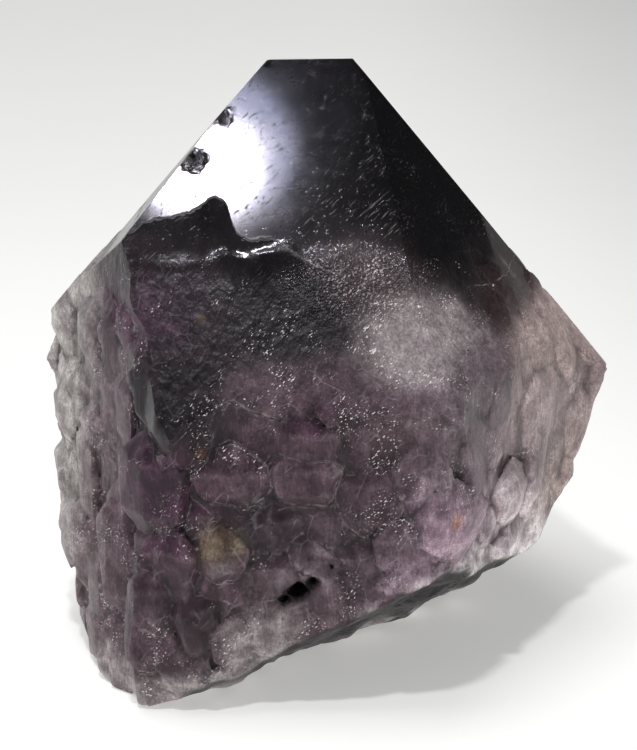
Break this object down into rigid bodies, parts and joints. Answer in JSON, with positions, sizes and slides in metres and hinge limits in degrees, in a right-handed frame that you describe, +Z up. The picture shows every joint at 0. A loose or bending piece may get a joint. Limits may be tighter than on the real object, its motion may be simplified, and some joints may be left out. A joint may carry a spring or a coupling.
{
  "type": "amethyst crystal",
  "caption": "Hand-sized broken-off quartz point with smooth flat tip faces, sides covered in small fused crystals, and a rough broken foot that it stands on.",
  "frame": {"origin": "on the flat resting part of the broken foot, below the tip", "axes": "+Z up along the crystal towards its tip, -Y towards the large dark tip face, +X towards the side where the break climbs"},
  "size_m": [0.1113, 0.0918, 0.118],
  "materials": {
    "amethyst": "smoky violet quartz, glossy on the tip faces, etched satin on the sides, frosted where broken"
  },
  "bodies": {
    "root": {"amethyst_crystal": "amethyst"}
  },
  "joints": []
}
